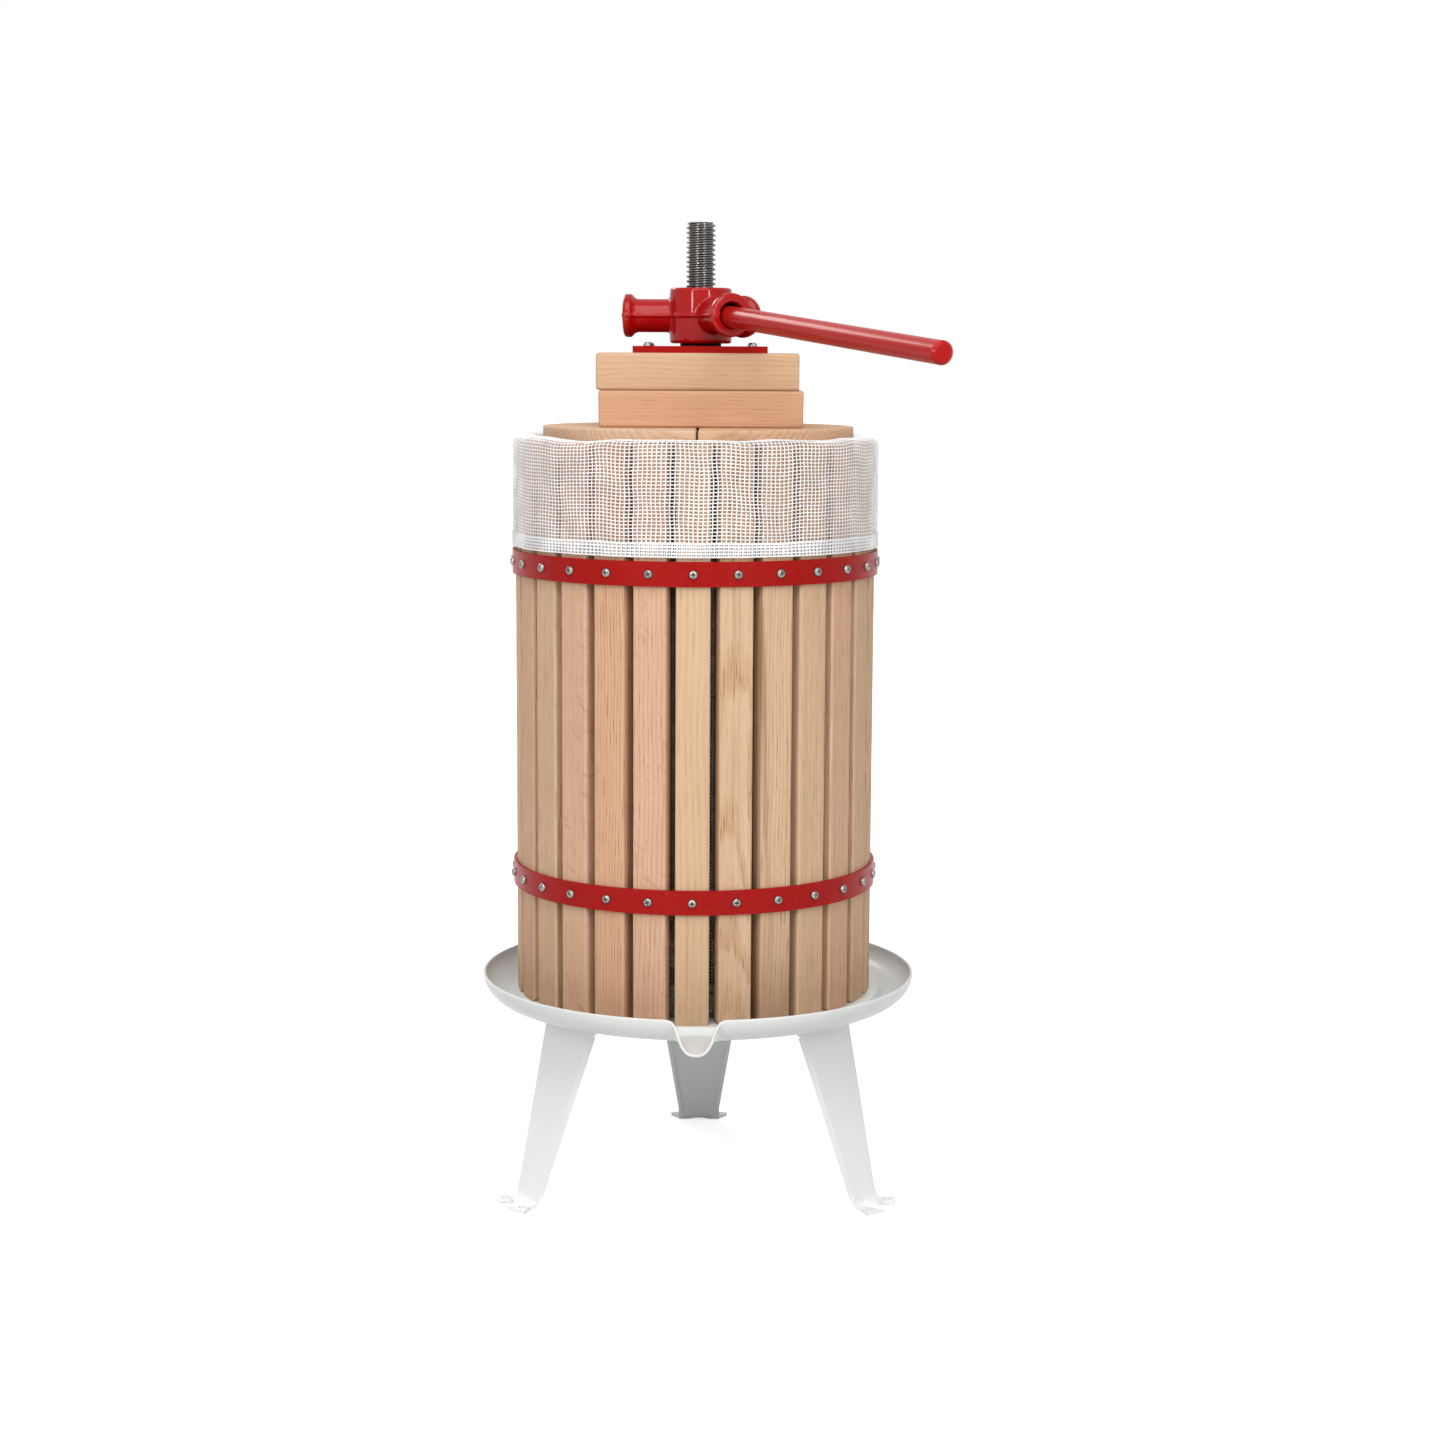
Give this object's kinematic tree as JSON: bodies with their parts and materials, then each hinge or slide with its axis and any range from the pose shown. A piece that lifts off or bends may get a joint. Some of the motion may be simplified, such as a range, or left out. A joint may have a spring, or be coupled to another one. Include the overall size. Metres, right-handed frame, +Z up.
{
  "type": "fruit press",
  "caption": "Hand basket press: oak stave basket with red hoops and a net bag on a white three-legged tray, pressed by a cast nut and bar on a central spindle.",
  "frame": {"origin": "on the spindle's axis, at the height of the floor under the feet", "axes": "+Z up along the spindle, -Y towards the pouring spout, +X to the right seen from the spout"},
  "size_m": [0.3344, 0.5198, 0.74],
  "materials": {
    "white_enamel": "semi gloss",
    "red_enamel": "gloss",
    "red_casting": "gloss enamel",
    "zinc": "bright zinc",
    "spindle_steel": "oiled",
    "stave_oak": "planed, bare",
    "board_oak": "planed, bare",
    "net": "open woven net"
  },
  "bodies": {
    "base": {"tray": "white_enamel", "leg_left": "white_enamel", "leg_right": "white_enamel", "leg_rear": "white_enamel", "leg_bolts": "zinc", "leg_nuts": "zinc", "spindle": "spindle_steel", "spindle_flange": "spindle_steel", "spindle_washer": "zinc", "spindle_nut": "zinc"},
    "basket": {"stave_01": "stave_oak", "stave_02": "stave_oak", "stave_03": "stave_oak", "stave_04": "stave_oak", "stave_05": "stave_oak", "stave_06": "stave_oak", "stave_07": "stave_oak", "stave_08": "stave_oak", "stave_09": "stave_oak", "stave_10": "stave_oak", "stave_11": "stave_oak", "stave_12": "stave_oak", "stave_13": "stave_oak", "stave_14": "stave_oak", "stave_15": "stave_oak", "stave_16": "stave_oak", "stave_17": "stave_oak", "stave_18": "stave_oak", "stave_19": "stave_oak", "stave_20": "stave_oak", "stave_21": "stave_oak", "stave_22": "stave_oak", "stave_23": "stave_oak", "stave_24": "stave_oak", "stave_25": "stave_oak", "stave_26": "stave_oak", "stave_27": "stave_oak", "upper_hoop": "red_enamel", "lower_hoop": "red_enamel", "upper_hoop_screws": "zinc", "lower_hoop_screws": "zinc", "press_bag": "net"},
    "press_head": {"left_half_disc": "board_oak", "right_half_disc": "board_oak", "lower_block_front": "board_oak", "lower_block_rear": "board_oak", "upper_block_front": "board_oak", "upper_block_rear": "board_oak", "pressure_plate": "red_enamel", "plate_screws": "zinc", "thrust_collar": "spindle_steel"},
    "nut": {"drive_nut": "red_casting"},
    "handle": {"handle_bar": "red_enamel", "handle_end_plug": "red_enamel"}
  },
  "joints": [
    {"name": "head_travel", "type": "slide", "parent": "base", "child": "press_head", "axis": [0, 0, 1], "range_m": [-0.0541, 0.0433]},
    {"name": "nut_turn", "type": "hinge", "parent": "press_head", "child": "nut", "pos_m": [0, 0, 0.67055], "axis": [0, 0, 1], "range_deg": [-5400, 4320]},
    {"name": "handle_pull", "type": "slide", "parent": "nut", "child": "handle", "axis": [0.4055, -0.9108, -0.078], "range_m": [0, 0.06]},
    {"name": "basket_lift", "type": "slide", "parent": "base", "child": "basket", "axis": [0, 0, 1], "range_m": [0, 0.012]}
  ],
  "couplings": [
    {"joint": "head_travel", "follows": "nut_turn", "m_per_rad": 0.00057296}
  ]
}
